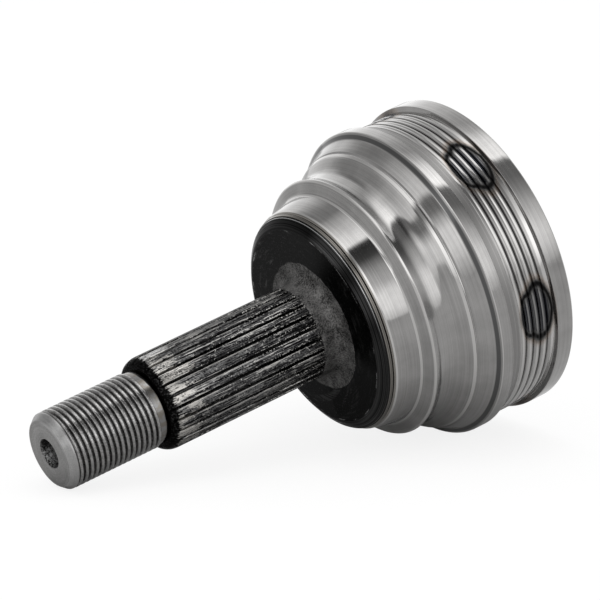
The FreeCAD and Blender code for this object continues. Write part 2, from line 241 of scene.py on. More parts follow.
class Surface(Tree):
    """A metal's node tree, with the joint's own coordinates to reckon with."""

    def __init__(self, name: str) -> None:
        """Start a material.

        Args:
            name: the material's name.
        """
        self.material = bpy.data.materials.new(name)
        self.material.use_nodes = True
        super().__init__(self.material.node_tree)
        self.tree.nodes.clear()
        self.place = self.node("ShaderNodeTexCoord").outputs["Object"]
        parts = self.node("ShaderNodeSeparateXYZ", {0: self.place})
        self.along, self.across, self.up = (self.value(socket) for socket in parts.outputs)
        self.radius = (self.across * self.across + self.up * self.up).math("SQRT")
        self.turn = (0 - self.across).math("ARCTAN2", self.up)

    def zone(self, low: float, high: float, soft: float) -> Value:
        """1 between two places along the axis, in millimetres, with soft ends."""
        return self.along.band(low * MM, high * MM, soft * MM)

    def noise(
        self, scale: float, detail: float = 3.0, roughness: float = 0.5, place: object = None
    ) -> Value:
        """Noise over the surface.

        Args:
            scale: how fine the noise is.
            detail: how many octaves there are.
            roughness: how much the fine octaves weigh.
            place: its coordinates, the joint's own if none.

        Returns:
            The noise, from 0 to 1 about a half.
        """
        place = self.place if place is None else place
        inputs = {"Vector": place, "Scale": scale, "Detail": detail, "Roughness": roughness}
        return self.value(self.node("ShaderNodeTexNoise", inputs))

    def grain(
        self, around: float, along: float, out: float, detail: float = 3.0, roughness: float = 0.6
    ) -> Value:
        """Noise stretched over the turned surface, without a seam.

        Args:
            around: radius of the circle that one turn makes in the noise.
            along: scale of the way along the axis, per metre.
            out: scale of the way out, per metre.
            detail: how many octaves there are.
            roughness: how much the fine octaves weigh.

        Returns:
            The noise, from 0 to 1.
        """
        place = self.vector(
            self.along * along,
            self.turn.math("SINE") * around + self.radius * out,
            self.turn.math("COSINE") * around,
        )
        return self.noise(1.0, detail, roughness, place)

    def strip(self, number: Value, along: float) -> Value:
        """Noise that runs along the axis and differs from one numbered strip to the next."""
        return self.noise(1.0, 2.0, 0.5, self.vector(self.along * along, number * 3.7, 1.3))

    def mix(self, first: object, second: object, share: Number) -> bpy.types.NodeSocket:
        """A mix of two colours."""
        made = self.node("ShaderNodeMix", {0: share, 6: first, 7: second}, data_type="RGBA")
        return made.outputs[2]

    def bump(self, height: Value, distance: float) -> bpy.types.Node:
        """A normal from a height."""
        return self.node("ShaderNodeBump", {"Height": height, "Distance": distance, "Strength": 1.0})

    def finish(
        self,
        colour: object,
        roughness: object,
        metallic: object,
        normal: bpy.types.Node,
        others: Mapping[str, object] | None = None,
    ) -> bpy.types.Material:
        """Close the tree with its shader.

        Args:
            colour: base colour, a colour or a socket.
            roughness: a number or a Value.
            metallic: a number or a Value.
            normal: the bumped normal.
            others: what further inputs of the shader get.

        Returns:
            The material.
        """
        inputs = {"Base Color": colour, "Roughness": roughness, "Metallic": metallic, "Normal": normal}
        shader = self.node("ShaderNodeBsdfPrincipled", {**inputs, **(others or {})})
        self.node("ShaderNodeOutputMaterial", {0: shader})
        return self.material


@dataclass(frozen=True)
class TurnedSteel:
    """Bright steel straight from the lathe, with heat spots over the ball tracks, painted shade in the
    grooves between the ribs and painted highlights on the rib lines inside the spots.
    """

    level: float = 0.30
    bright: float = 0.50
    warmth: float = 0.016
    roughness: float = 0.11
    line_height: float = 0.003 * MM
    band_radius: float = 38.0 * MM
    groove_place: float = 7.2 * MM
    groove_pitch: float = 2.2 * MM
    straw: Colour = (0.20, 0.13, 0.08, 1.0)
    scorched: Colour = (0.012, 0.013, 0.017, 1.0)

    BRIGHT_LINES: ClassVar[Stops] = (
        (8.55, 9.25), (-7.65, -7.45), (-13.5, -12.85), (-23.4, -22.95), (-25.2, -24.75), (-31.5, -31.05),
    )

    def lobe(self, steel: Surface, offset: Value, along: float, length: float, angle: float) -> Value:
        """How far a point lies from the middle of one lobe of a heat spot.

        Args:
            steel: the surface that the spots are on.
            offset: the way round from the middle of the nearest ball track.
            along: where the lobe's middle is, in millimetres.
            length: half the lobe's length, in millimetres.
            angle: half the lobe's width, in radians.

        Returns:
            The distance, 1 on the lobe's edge.
        """
        long_way = (steel.along - along * MM) / (length * MM)
        round_way = offset / angle
        return (long_way * long_way + round_way * round_way).math("SQRT")

    def spot(self, steel: Surface) -> Value:
        """How far a point lies from the middle of the nearest heat spot.

        Args:
            steel: the surface that the spots are on.

        Returns:
            The distance, 1 on the spot's ragged edge.
        """
        sector = 2 * math.pi / TRACK_COUNT
        offset = (steel.turn - FIRST_TURN + sector / 2).math("FLOORED_MODULO", sector) - sector / 2
        large = self.lobe(steel, offset, 5.4, 3.7, 0.200)
        small = self.lobe(steel, offset, 2.4, 2.5, 0.153)
        ragged = steel.noise(420.0, 2.0).swing(0.12) + steel.noise(1500.0, 2.0).swing(0.05)
        return large.math("SMOOTH_MIN", small, 0.25) + ragged

    def worn_lines(self, steel: Surface, ribs: Value) -> Value:
        """The narrow faces that the lathe left brightest.

        Args:
            steel: the surface.
            ribs: 1 on the ribbed band.

        Returns:
            1 on those faces and 0 beside them.
        """
        step = (steel.along - self.groove_place).math("FLOORED_MODULO", self.groove_pitch)
        lines = step.band(1.10 * MM, 1.54 * MM, 0.06 * MM) * ribs
        for low, high in self.BRIGHT_LINES:
            lines = lines.either(steel.zone(low, high, 0.04))
        return lines * steel.radius.rise(28.0 * MM, 28.4 * MM)

    def build(self) -> bpy.types.Material:
        """Make the material.

        Returns:
            The material.
        """
        steel = Surface("turned_steel")
        hair = steel.grain(1.2, 9000.0, 2000.0, detail=2.0)
        lines = steel.grain(0.25, 1500.0, 500.0, roughness=0.7)
        cloud = steel.grain(5.0, 90.0, 30.0, roughness=0.55)
        smudge = steel.noise(160.0, 4.0, 0.65)
        shell = steel.radius.rise(self.band_radius - 0.5 * MM, self.band_radius + 0.5 * MM)
        ribs = shell * steel.zone(-2.2, 9.6, 0.3)
        # painted shade: the floors of the grooves between the ribs
        groove_shade = steel.radius.fall(38.80 * MM, 39.08 * MM) * ribs
        dull = steel.zone(-4.2, -1.4, 0.2) * shell
        bevel = steel.zone(-8.55, -7.90, 0.08) * shell
        worn = self.worn_lines(steel, ribs)
        spot = self.spot(steel)
        ring = spot.rise(0.62, 0.90) * spot.fall(0.96, 1.24) * ribs
        inner = spot.fall(0.70, 0.90) * ribs
        tint = spot.rise(1.0, 1.12) * spot.fall(1.12, 1.4) * ribs
        tone = lines.swing(0.6) + hair.swing(0.5) + cloud.swing(0.45) + smudge.swing(0.3) + 1.0
        dim, pale = grey(self.level * 0.7, self.warmth), grey(self.level * 1.3, self.warmth)
        low = steel.mix(dim, pale, (tone - 0.7) / 0.6)
        plain = steel.mix(low, grey(self.level * 0.72, self.warmth), dull)
        polished = steel.mix(plain, grey(self.bright, self.warmth), worn)
        edged = steel.mix(polished, grey(self.level * 0.34), bevel)
        # painted shade: the groove floors are painted near black, less dark past a turn of about 1.3 radians
        groove_shaded = steel.mix(edged, grey(0.03), groove_shade * (1 - steel.turn.rise(1.25, 1.75) * 0.45))
        tinted = steel.mix(groove_shaded, self.straw, tint * 0.4)
        striped = (lines * 0.5 + hair * 0.5).rise(0.42, 0.56) * 0.45 + 0.45
        # painted highlight: the rib lines stay bright inside the dark heat spots, more for turns below about
        # 1.1 radians
        painted_highlight_in_spots = worn * steel.turn.rise(1.1, 1.6).blend(0.8, 0.35)
        dark = steel.mix(tinted, self.scorched, inner * (striped + 0.25) * (1 - painted_highlight_in_spots))
        colour = steel.mix(dark, grey(0.0015), ring)
        rough = hair.swing(0.08) + cloud.swing(0.1) + self.roughness + ring * 0.3 + dull * 0.24
        normal = steel.bump(lines * 0.7 + hair * 0.3, self.line_height)
        return steel.finish(colour, rough, 1.0 - ring * 0.15, normal)


@dataclass(frozen=True)
class CoatedNeck:
    """The neck's end: dull black face, a blasted patch round the stub, a glossy lip and a bare bevel, with
    painted shade in the bevel's groove and a painted highlight line on the lip.
    """

    patch_radius: float = 16.7 * MM
    face_radius: float = 25.3 * MM
    bevel_end: float = -32.78 * MM
    grain_height: float = 0.04 * MM
    specular: float = 0.012
    gloss: float = 0.12
    dark_steel: Colour = (0.11, 0.103, 0.094, 1.0)
    pale_steel: Colour = (0.25, 0.238, 0.22, 1.0)

    def build(self) -> bpy.types.Material:
        """Make the material.

        Returns:
            The material.
        """
        neck = Surface("coated_neck")
        grain = neck.noise(2400.0, 3.0, 0.65)
        mottle = neck.noise(330.0, 4.0, 0.6)
        wobble = neck.noise(420.0, 4.0, 0.65)
        rings = neck.grain(0.3, 3600.0, 3600.0, detail=2.0)
        sweep = neck.grain(5.0, 300.0, 500.0)
        edge = neck.radius + wobble.swing(1.6 * MM) + grain.swing(0.6 * MM)
        blasted = edge.fall(self.patch_radius - 0.15 * MM, self.patch_radius + 0.15 * MM)
        lip = neck.radius.rise(self.face_radius, self.face_radius + 0.4 * MM)
        flat = 1 - lip
        bare = neck.along.rise(self.bevel_end - 0.03 * MM, self.bevel_end + 0.03 * MM) * lip
        # painted shade: the groove in the bare bevel is painted near black, fainter for turns below about
        # 0.5 radians
        cuts = neck.zone(-32.16, -31.88, 0.04) * neck.turn.rise(0.0, 0.5).blend(0.35, 1.0)
        # painted highlight: a light line on the lip's small ridge, for turns from about -0.6 to 1.4 radians
        # only
        second = neck.zone(-33.28, -33.12, 0.04) * neck.turn.band(-0.6, 1.4, 0.3) * lip
        side = neck.turn.band(0.15, 1.30, 0.15).either(neck.turn.band(-2.8, -1.75, 0.2))
        chipped = neck.radius.band(25.06 * MM, 25.30 * MM, 0.06 * MM)
        chips = chipped * (sweep + side * 0.10 - 0.08).rise(0.44, 0.60) * grain.rise(0.40, 0.52)
        speckle = grain.rise(0.56, 0.70) * flat
        left = 1 - neck.turn.rise(-0.4, 0.5) * neck.turn.fall(2.4, 3.0)
        streak = sweep.rise(0.50, 0.66) * rings.rise(0.45, 0.62) * flat * left.blend(0.35, 1.0)
        # the face is palest for turns below about 0.3 radians, darkest between about 0.75 and 1.75, and part
        # pale beyond 2
        paler_by_turn = 1 - neck.turn.rise(0.30, 0.75) * (1 - neck.turn.rise(1.75, 2.0) * 0.45)
        dark = neck.mix(grey(0.0004), grey(0.017), paler_by_turn * (mottle * 0.4 + 0.8) * flat)
        coat = neck.mix(dark, grey(0.11), speckle * left.blend(0.2, 0.5) + streak * 0.6)
        tone = mottle.rise(0.36, 0.66) * 0.45 + grain.rise(0.38, 0.64) * 0.55
        shade = neck.turn.rise(-0.45, 0.25).blend(0.72, 1.0)
        patch = neck.mix(grey(0.015, 0.02), grey(0.24, 0.02), tone * shade)
        steel = neck.mix(self.dark_steel, self.pale_steel, rings.rise(0.40, 0.68))
        bevelled = neck.mix(coat, neck.mix(steel, grey(0.004), cuts), bare)
        lined = neck.mix(bevelled, grey(0.36), chips.either(second))
        colour = neck.mix(lined, patch, blasted)
        rough = blasted * 0.16 + 0.42 + mottle.swing(0.2) - lip * 0.22
        height = grain * (blasted * 0.8 + 0.2) * (1 - lip * 0.8) + rings * 0.15
        shine = (blasted * 0.45).either(bare).either(chips).either(second)
        above = neck.turn.band(0.38, 0.74, 0.12) * 0.95 + neck.turn.band(1.0, 1.32, 0.12) * 0.7
        lit = above + neck.turn.band(1.45, 2.7, 0.2) * 0.4 + 0.16
        others = {
            "Specular IOR Level": self.specular,
            "Coat Roughness": self.gloss,
            "Coat Weight": lip * (1 - bare) * lit * (rings.rise(0.40, 0.60) * 1.3 + 0.25),
        }
        return neck.finish(colour, rough, shine, neck.bump(height, self.grain_height), others)


@dataclass(frozen=True)
class BlackOxide:
    """Hardened spline: gritty dark scale, worn bright on the tooth edges and towards the tip, with painted
    glints along one edge of each tooth, a painted highlight along the top and painted shading across each
    tooth.
    """

    crest_radius: float = 12.0 * MM
    tip_place: float = -85.0 * MM
    gap_half_angle: float = 0.035
    scale_height: float = 0.15 * MM
    black: Colour = (0.007, 0.0065, 0.0075, 1.0)
    worn_and_glint_steel: Colour = (0.44, 0.43, 0.41, 1.0)
    dim_steel: Colour = (0.18, 0.174, 0.165, 1.0)
    pale_steel: Colour = (0.48, 0.468, 0.444, 1.0)

    @staticmethod
    def numbered(turns: Value) -> Value:
        """The number of the tooth or the gap that a point belongs to."""
        return turns.math("FLOOR").math("FLOORED_MODULO", float(TOOTH_COUNT))

    def build(self) -> bpy.types.Material:
        """Make the material.

        Returns:
            The material.
        """
        scale = Surface("black_oxide")
        pitch = 2 * math.pi / TOOTH_COUNT
        gaps = (scale.turn - FIRST_TURN) / pitch
        past_gap = (gaps + 0.5).math("FRACT").swing(pitch)
        way = past_gap.math("ABSOLUTE")
        luck = scale.strip(self.numbered(gaps), 70.0)
        brink = (way - self.gap_half_angle - 0.006).math("ABSOLUTE").fall(0.004, 0.022)
        # painted highlight: a glint along one edge of each tooth
        glint = (past_gap - self.gap_half_angle).band(0.002, 0.016, 0.006)
        streaks = scale.grain(30.0, 80.0, 60.0, 2.0, 0.55)
        dashes = scale.grain(52.0, 420.0, 200.0, 1.0, 0.5)
        blots = scale.grain(9.0, 150.0, 200.0)
        grit = scale.noise(2200.0, 1.0, 0.5)
        top = scale.radius.rise(self.crest_radius - 0.6 * MM, self.crest_radius - 0.08 * MM)
        floor = scale.radius.fall(self.crest_radius - 1.1 * MM, self.crest_radius - 0.7 * MM)
        past = scale.along - self.tip_place
        cone = (past + luck.swing(3.0 * MM) + dashes.swing(3.0 * MM)).fall(1.6 * MM, 2.0 * MM)
        body = 1 - cone
        neck_side = scale.along.rise(-62.0 * MM, -48.0 * MM)
        limit = luck.swing(34.0 * MM) + blots.swing(30.0 * MM) + grit.swing(3.0 * MM) + 3.2 * MM
        holes = (dashes * 0.6 + grit * 0.4).rise(0.40, 0.47)
        flattened = (limit - past).rise(-0.2 * MM, 0.2 * MM) * holes * (1 - floor)
        # painted highlight along the top of the spline, also lifting its tone and scratches there
        painted_top_highlight = scale.turn.band(-0.09, 0.09, 0.08)
        scratched = (streaks * 0.55 + dashes * 0.45 + painted_top_highlight * 0.06).rise(0.575, 0.625)
        beads = brink * neck_side.blend(0.06, 0.14)
        specks = (grit * 0.75 + dashes * 0.25 + beads + neck_side * 0.01).rise(0.63, 0.67)
        worn = scratched.either(specks)
        tone = (streaks * 0.4 + dashes * 0.3 + grit * 0.3).rise(0.40, 0.60)
        # painted shading across each tooth: lighter on one side, darker on the other
        painted_tooth_shading = gaps.math("FRACT").blend(1.45, 0.45)
        level = (luck.rise(0.3, 0.7).blend(0.6, 1.3) + painted_top_highlight * 2.0) * neck_side.blend(1.0, 0.55) * painted_tooth_shading
        cut = streaks.rise(0.44, 0.38) * 0.9
        base = scale.mix(scale.mix(self.black, grey(0.17), tone * level), grey(0.002), cut)
        flank = scale.mix(grey(0.016), grey(0.24), (streaks * 0.5 + grit * 0.5).rise(0.42, 0.6))
        sides = scale.mix(flank, grey(0.004), floor.either(neck_side * 0.8))
        gap = self.numbered(gaps + 0.5)
        filled = scale.strip(gap + 0.5, 40.0).rise(0.46, 0.60) * (1 - neck_side) * 0.75
        deep = scale.mix(sides, base, top.either(filled))
        # painted highlight: the glints, in the worn steel's colour
        edge = glint * (streaks * 0.6 + luck * 0.4).rise(0.42, 0.58) * 0.8
        bared = scale.mix(deep, self.worn_and_glint_steel, (worn * 0.8).either(edge) * (1 - floor) * body)
        pale = scale.mix(self.dim_steel, self.pale_steel, tone)
        # painted highlight: a near-white patch on the top near the nose
        gleam = painted_top_highlight * past.fall(6.0 * MM, 11.0 * MM) * holes
        patched = scale.mix(bared, pale, flattened.either(gleam) * body)
        patched = scale.mix(patched, grey(0.85), gleam * body * 0.75)
        colour = scale.mix(patched, scale.mix(grey(0.001), grey(0.03), grit.rise(0.5, 0.7)), cone)
        rough = 0.30 - worn * 0.06 + dashes.swing(0.26) - cone * 0.16
        height = streaks * 0.4 + dashes * 0.35 + grit * 0.25 - cut * 0.2
        normal = scale.bump(height, self.scale_height)
        return scale.finish(colour, rough, 0.9, normal, {"Specular Tint": grey(0.3)})


@dataclass(frozen=True)
class ThreadSteel:
    """Rolled thread: grey steel, bright on the crests, specked in the roots and darkened there by painted
    shade.
    """

    crest_radius: float = 9.9 * MM
    depth: float = 0.9 * MM
    warmth: float = 0.012
    grain_height: float = 0.02 * MM

    def build(self) -> bpy.types.Material:
        """Make the material.

        Returns:
            The material.
        """
        steel = Surface("thread_steel")
        fine = steel.grain(14.0, 2600.0, 900.0)
        scuffs = steel.grain(36.0, 2600.0, 900.0, 1.0, 0.5).rise(0.36, 0.64)
        specks = steel.noise(2600.0, 3.0, 0.75)
        cloud = steel.noise(500.0)
        high = steel.radius.rise(self.crest_radius - self.depth, self.crest_radius - self.depth * 0.35)
        dots = specks.rise(0.50, 0.64)
        # painted shade: the roots are darker than the crests
        low = steel.mix(grey(0.06), grey(0.28, self.warmth), fine * 0.35 + dots * 0.5)
        pale = (cloud * 0.5 + fine * 0.5).swing(2.0) + 0.5
        share = pale * 0.5 + dots * 0.2 + scuffs * 0.35 - 0.05
        top = steel.mix(grey(0.12, self.warmth), grey(0.47, self.warmth), share)
        colour = steel.mix(low, top, high)
        rough = 0.26 - high * 0.06 + fine.swing(0.14) + (1 - high) * dots * 0.2
        return steel.finish(colour, rough, 1.0, steel.bump(fine * 0.5 + specks * 0.5, self.grain_height))


@dataclass(frozen=True)
class ReliefSteel:
    """The relief behind the thread: black from the spline's side, then straw-brown to bare steel."""

    black_end: float = -85.6 * MM
    line_height: float = 0.01 * MM
    straw: Colour = (0.165, 0.152, 0.135, 1.0)

    def build(self) -> bpy.types.Material:
        """Make the material.

        Returns:
            The material.
        """
        steel = Surface("relief_steel")
        rings = steel.grain(0.6, 3000.0, 900.0)
        cloud = steel.grain(6.0, 300.0, 300.0)
        lean = steel.turn.rise(0.0, 1.2) * steel.turn.fall(1.8, 3.0)
        end = steel.along + cloud.swing(0.5 * MM) + (1 - lean) * (0.7 * MM)
        black = end.rise(self.black_end - 0.1 * MM, self.black_end + 0.1 * MM)
        straw = steel.mix(self.straw, grey(0.20), cloud.rise(0.42, 0.6))
        bare = steel.mix(straw, grey(0.12), rings.rise(0.5, 0.75) * 0.6)
        colour = steel.mix(bare, grey(0.004), black)
        return steel.finish(colour, 0.2 + rings.swing(0.1), 1.0, steel.bump(rings, self.line_height))


@dataclass(frozen=True)
class TipSteel:
    """The stub's turned end face and bevel, with a rough drilled centre, a painted highlight on the bevel
    and its edge, and painted shade and light in the drilled centre.
    """

    drill_radius: float = 3.9 * MM
    drill_end: float = -106.0 * MM
    drill_depth: float = 7.0 * MM
    warmth: float = 0.012
    grain_height: float = 0.04 * MM

    def build(self) -> bpy.types.Material:
        """Make the material.

        Returns:
            The material.
        """
        steel = Surface("tip_steel")
        turning = steel.grain(0.4, 2500.0, 2500.0, roughness=0.65)
        grain = steel.noise(2600.0, 3.0, 0.7)
        cloud = steel.noise(300.0)
        inside = steel.radius.fall(self.drill_radius - 0.15 * MM, self.drill_radius + 0.10 * MM)
        tone = turning.swing(0.9) + grain.swing(1.6) + cloud.swing(0.7) + 0.5
        plain = steel.mix(grey(0.12, self.warmth), grey(0.32, self.warmth), tone)
        # painted highlight: the bevel is lightened all round, and more on its edge for turns of about 0.1 to
        # 1.3 radians
        bevel = steel.radius.rise(8.35 * MM, 8.65 * MM)
        painted_edge_highlight = steel.radius.band(7.9 * MM, 8.6 * MM, 0.15 * MM) * steel.turn.band(0.1, 1.3, 0.3)
        face = steel.mix(plain, grey(0.44), bevel * 0.35 + painted_edge_highlight * 0.5)
        depth = (self.drill_end - steel.along) / self.drill_depth
        # painted light: the flecks are lighter on the drilled centre's lower wall
        lit_lower_wall = (steel.across * 0.6 - steel.up * 0.8).rise(0.4 * MM, 3.0 * MM)
        flecks = grain.rise(0.42, 0.66) * 0.5 + turning.rise(0.45, 0.6) * depth * 0.3
        # painted shade: the drilled centre is near black between its flecks
        drilled = steel.mix(grey(0.008), grey(0.42), flecks * lit_lower_wall.blend(0.45, 1.6))
        colour = steel.mix(face, drilled, inside)
        rough = 0.34 + grain.swing(0.2) + inside * 0.08
        height = turning * 0.3 + grain * 0.3 + grain * inside * 1.6
        return steel.finish(colour, rough, 1.0, steel.bump(height, self.grain_height))


@dataclass(frozen=True)
class PlainSteel:
    """Ground or hardened steel in one tone, with fine grain and faint clouding."""

    name: str
    level: float
    roughness: float
    grain_height: float = 0.006 * MM
    contrast: float = 0.18

    def build(self) -> bpy.types.Material:
        """Make the material.

        Returns:
            The material.
        """
        steel = Surface(self.name)
        cloud = steel.noise(220.0, 4.0, 0.6)
        fine = steel.noise(3200.0, 2.0, 0.6)
        low, high = self.level * (1 - self.contrast), self.level * (1 + self.contrast)
        colour = steel.mix(grey(low), grey(high), cloud)
        rough = cloud.swing(0.12) + fine.swing(0.08) + self.roughness
        return steel.finish(colour, rough, 1.0, steel.bump(fine, self.grain_height))


class Graph(Tree):
    """A geometry node tree with named inputs."""

    def __init__(self, name: str, sizes: Mapping[str, tuple[str, object]]) -> None:
        """Start a tree that takes a mesh and gives one back.

        Args:
            name: the tree's name.
            sizes: for each named input, its socket's kind and its value.
        """
        super().__init__(bpy.data.node_groups.new(name, "GeometryNodeTree"))
        interface = self.tree.interface
        interface.new_socket("Geometry", in_out="INPUT", socket_type="NodeSocketGeometry")
        self.values: dict[str, object] = {}
        for label, (kind, given) in sizes.items():
            socket = interface.new_socket(label, in_out="INPUT", socket_type=f"NodeSocket{kind}")
            self.values[socket.identifier] = given
        interface.new_socket("Geometry", in_out="OUTPUT", socket_type="NodeSocketGeometry")
        self.start = self.node("NodeGroupInput")
        self.end = self.node("NodeGroupOutput")

    def size(self, label: str) -> Value:
        """A named input as a number."""
        return self.value(self.start.outputs[label])

    def close(self, geometry: bpy.types.Node) -> None:
        """Realize what was made, give it its finish and send it out.

        Args:
            geometry: the node that made it.
        """
        real = self.node("GeometryNodeRealizeInstances", {0: geometry})
        merged = self.node("GeometryNodeMergeByDistance", {0: real, "Distance": 1e-7})
        finish = self.start.outputs["Finish"]
        dressed = self.node("GeometryNodeSetMaterial", {0: merged, "Material": finish})
        self.feed(self.end.inputs[0], dressed)

    def apply(self, piece: bpy.types.Object) -> None:
        """Run the tree on a piece and keep the result as its plain mesh.

        Args:
            piece: the piece.
        """
        modifier = piece.modifiers.new(self.tree.name, "NODES")
        modifier.node_group = self.tree
        for key, given in self.values.items():
            modifier[key] = given
        bake_modifiers(piece)


def bake_modifiers(piece: bpy.types.Object) -> None:
    """Replace a piece's mesh by its evaluated one and drop its modifiers.

    Args:
        piece: the piece.
    """
    bpy.context.view_layer.update()
    graph = bpy.context.evaluated_depsgraph_get()
    mesh = bpy.data.meshes.new_from_object(piece.evaluated_get(graph))
    piece.modifiers.clear()
    piece.data = mesh


def new_piece(name: str, form: bmesh.types.BMesh, outward: bool = True) -> bpy.types.Object:
    """Put a mesh into the scene.

    Args:
        name: the piece's name.
        form: its mesh, which is freed.
        outward: whether the faces are turned outwards first.

    Returns:
        The new object, at the origin.
    """
    if outward:
        bmesh.ops.recalc_face_normals(form, faces=form.faces)
    mesh = bpy.data.meshes.new(name)
    form.to_mesh(mesh)
    form.free()
    piece = bpy.data.objects.new(name, mesh)
    bpy.context.scene.collection.objects.link(piece)
    return piece


@dataclass(frozen=True)
class Corner:
    """A corner of a turned section, with its rounding, in millimetres."""

    along: float
    out: float
    round: float = 0.0


def corners(*rows: tuple[float, ...]) -> list[Corner]:
    """Corners from rows of (along, out, rounding)."""
    return [Corner(*row) for row in rows]


def rounded(section: Sequence[Corner], step: float = 4.0, span: float = 1.4) -> list[Vector]:
    """A section's line with its corners rounded and its long runs divided.

    Args:
        section: the corners in order.
        step: degrees between points on a rounding.
        span: the longest run left undivided, in millimetres.

    Returns:
        Points as (along, out) in metres.
    """
    points: list[Vector] = []
    last = len(section) - 1
    for index, corner in enumerate(section):
        here = Vector((corner.along, corner.out))
        if corner.round <= 0 or index in (0, last):
            points.append(here)
            continue
        before = Vector((section[index - 1].along, section[index - 1].out))
        after = Vector((section[index + 1].along, section[index + 1].out))
        back, ahead = (before - here).normalized(), (after - here).normalized()
        half = back.angle(ahead) / 2
        shorter = min((before - here).length, (after - here).length)
        reach = min(corner.round / math.tan(half), 0.49 * shorter)
        radius = reach * math.tan(half)
        centre = here + (back + ahead).normalized() * (radius / math.sin(half))
        first = here + back * reach - centre
        sweep = first.angle_signed(here + ahead * reach - centre)
        stride = step if corner.round > SMALL_ROUND else step * 4
        count = max(2, math.ceil(abs(math.degrees(sweep)) / stride))
        for tick in range(count + 1):
            cosine, sine = math.cos(-sweep * tick / count), math.sin(-sweep * tick / count)
            turned_to = Vector((first.x * cosine - first.y * sine, first.x * sine + first.y * cosine))
            points.append(centre + turned_to)
    line: list[Vector] = [points[0]]
    for point in points[1:]:
        run = (point - line[-1]).length
        if run < 1e-6:
            continue
        parts = max(1, math.ceil(run / span))
        start = line[-1].copy()
        line += [start.lerp(point, part / parts) for part in range(1, parts + 1)]
    return [point * MM for point in line]


def arc(radius: float, start: float, end: float, step: float = 2.5) -> list[Corner]:
    """Points of a circle about the joint centre.

    Args:
        radius: the circle's radius, in millimetres.
        start: where it starts along the axis.
        end: where it ends along the axis.
        step: degrees between points.

    Returns:
        The points as corners without rounding.
    """
    first, last = math.acos(start / radius), math.acos(end / radius)
    count = max(2, math.ceil(abs(math.degrees(last - first)) / step))
    angles = [first + (last - first) * tick / count for tick in range(count + 1)]
    return [Corner(radius * math.cos(angle), radius * math.sin(angle)) for angle in angles]


def about_axis(along: float, out: float, angle: float) -> tuple[float, float, float]:
    """A point by its place along the X axis, its distance from the axis and its turn round it."""
    return (along, -out * math.sin(angle), out * math.cos(angle))


def skin(
    form: bmesh.types.BMesh, rows: Sequence[Sequence[bmesh.types.BMVert]], around: bool = True
) -> None:
    """Stretch faces from each row of points to the next; a row of one point is a pole.

    Args:
        form: the mesh that the points are in.
        rows: the rows in order.
        around: whether a row's last point is followed by its first.
    """
    for one, two in zip(rows, rows[1:]):
        count = max(len(one), len(two))
        for tick in range(count if around else count - 1):
            following = (tick + 1) % count
            face = [one[tick % len(one)], one[following % len(one)]]
            face += [two[following % len(two)], two[tick % len(two)]]
            form.faces.new(list(dict.fromkeys(face)))


def turned(name: str, line: Sequence[Vector], segments: int) -> bpy.types.Object:
    """Turn a section's line once round the X axis.

    Args:
        name: the piece's name.
        line: (along, out) points in metres, from the axis back to the axis.
        segments: how many steps there are round the axis.

    Returns:
        A closed piece.
    """
    form = bmesh.new()
    rings: list[list[bmesh.types.BMVert]] = []
    for point in line:
        count = 1 if point.y < 1e-9 else segments
        angles = (2 * math.pi * tick / segments for tick in range(count))
        rings.append([form.verts.new(about_axis(point.x, point.y, angle)) for angle in angles])
    skin(form, rings)
    return new_piece(name, form)


def tube(
    name: str, path: Sequence[Vector], normals: Sequence[Vector], side: Vector, radius: float, sides: int
) -> bpy.types.Object:
    """A round tube along a flat path, with round flat ends.

    Args:
        name: the piece's name.
        path: the middle of each ring.
        normals: for each ring, the direction in the path's plane that lies square to the path.
        side: the direction square to the path's plane.
        radius: the tube's radius.
        sides: how many sides the tube has.

    Returns:
        A closed piece.
    """
    form = bmesh.new()
    rings = []
    for middle, normal in zip(path, normals):
        angles = (2 * math.pi * tick / sides for tick in range(sides))
        rings.append(
            [form.verts.new(middle + (normal * math.cos(a) + side * math.sin(a)) * radius) for a in angles]
        )
    skin(form, rings)
    form.faces.new(rings[0])
    form.faces.new(rings[-1])
    return new_piece(name, form)


def carve(piece: bpy.types.Object, tool: bpy.types.Object) -> None:
    """Cut one piece with another.

    Args:
        piece: the piece that is cut.
        tool: the piece that cuts, which is then removed.
    """
    modifier = piece.modifiers.new("cut", "BOOLEAN")
    modifier.operation = "DIFFERENCE"
    modifier.solver = "MANIFOLD"
    modifier.object = tool
    bake_modifiers(piece)
    bpy.data.objects.remove(tool)


def ring_of(piece: bpy.types.Object, count: int, finish: bpy.types.Material, join: bool) -> None:
    """Repeat a piece round the X axis.

    Args:
        piece: the first one, which becomes the whole ring.
        count: how many there are in the ring.
        finish: their material.
        join: whether the copies overlap and are made one solid.
    """
    graph = Graph("ring_of_pieces", {"Count": ("Int", count), "Finish": ("Material", finish)})
    total = graph.size("Count")
    points = graph.node("GeometryNodeMeshLine", {"Count": total, "Offset": (0.0, 0.0, 0.0)})
    step = graph.value(graph.node("GeometryNodeInputIndex")) * (2 * math.pi) / total
    instance = graph.start.outputs["Geometry"]
    shape = graph.node(
        "GeometryNodeInstanceOnPoints",
        {"Points": points, "Instance": instance, "Rotation": graph.vector(step)},
    )
    if join:
        overlapping = {"Mesh 2": shape, "Self Intersection": True}
        shape = graph.node("GeometryNodeMeshBoolean", overlapping, operation="UNION", solver="EXACT")
    graph.close(shape)
    graph.apply(piece)


def mend(piece: bpy.types.Object, merge: float, ends: bool = False) -> None:
    """Merge a piece's doubled points and turn its faces outwards.

    Args:
        piece: the piece.
        merge: how far apart doubled points may lie.
        ends: whether its two open ends are joined inside it.
    """
    form = bmesh.new()
    form.from_mesh(piece.data)
    bmesh.ops.remove_doubles(form, verts=form.verts, dist=merge)
    if ends:
        bmesh.ops.dissolve_degenerate(form, edges=form.edges, dist=1e-7)
        bmesh.ops.bridge_loops(form, edges=[edge for edge in form.edges if edge.is_boundary])
    bmesh.ops.recalc_face_normals(form, faces=form.faces)
    form.to_mesh(piece.data)
    form.free()


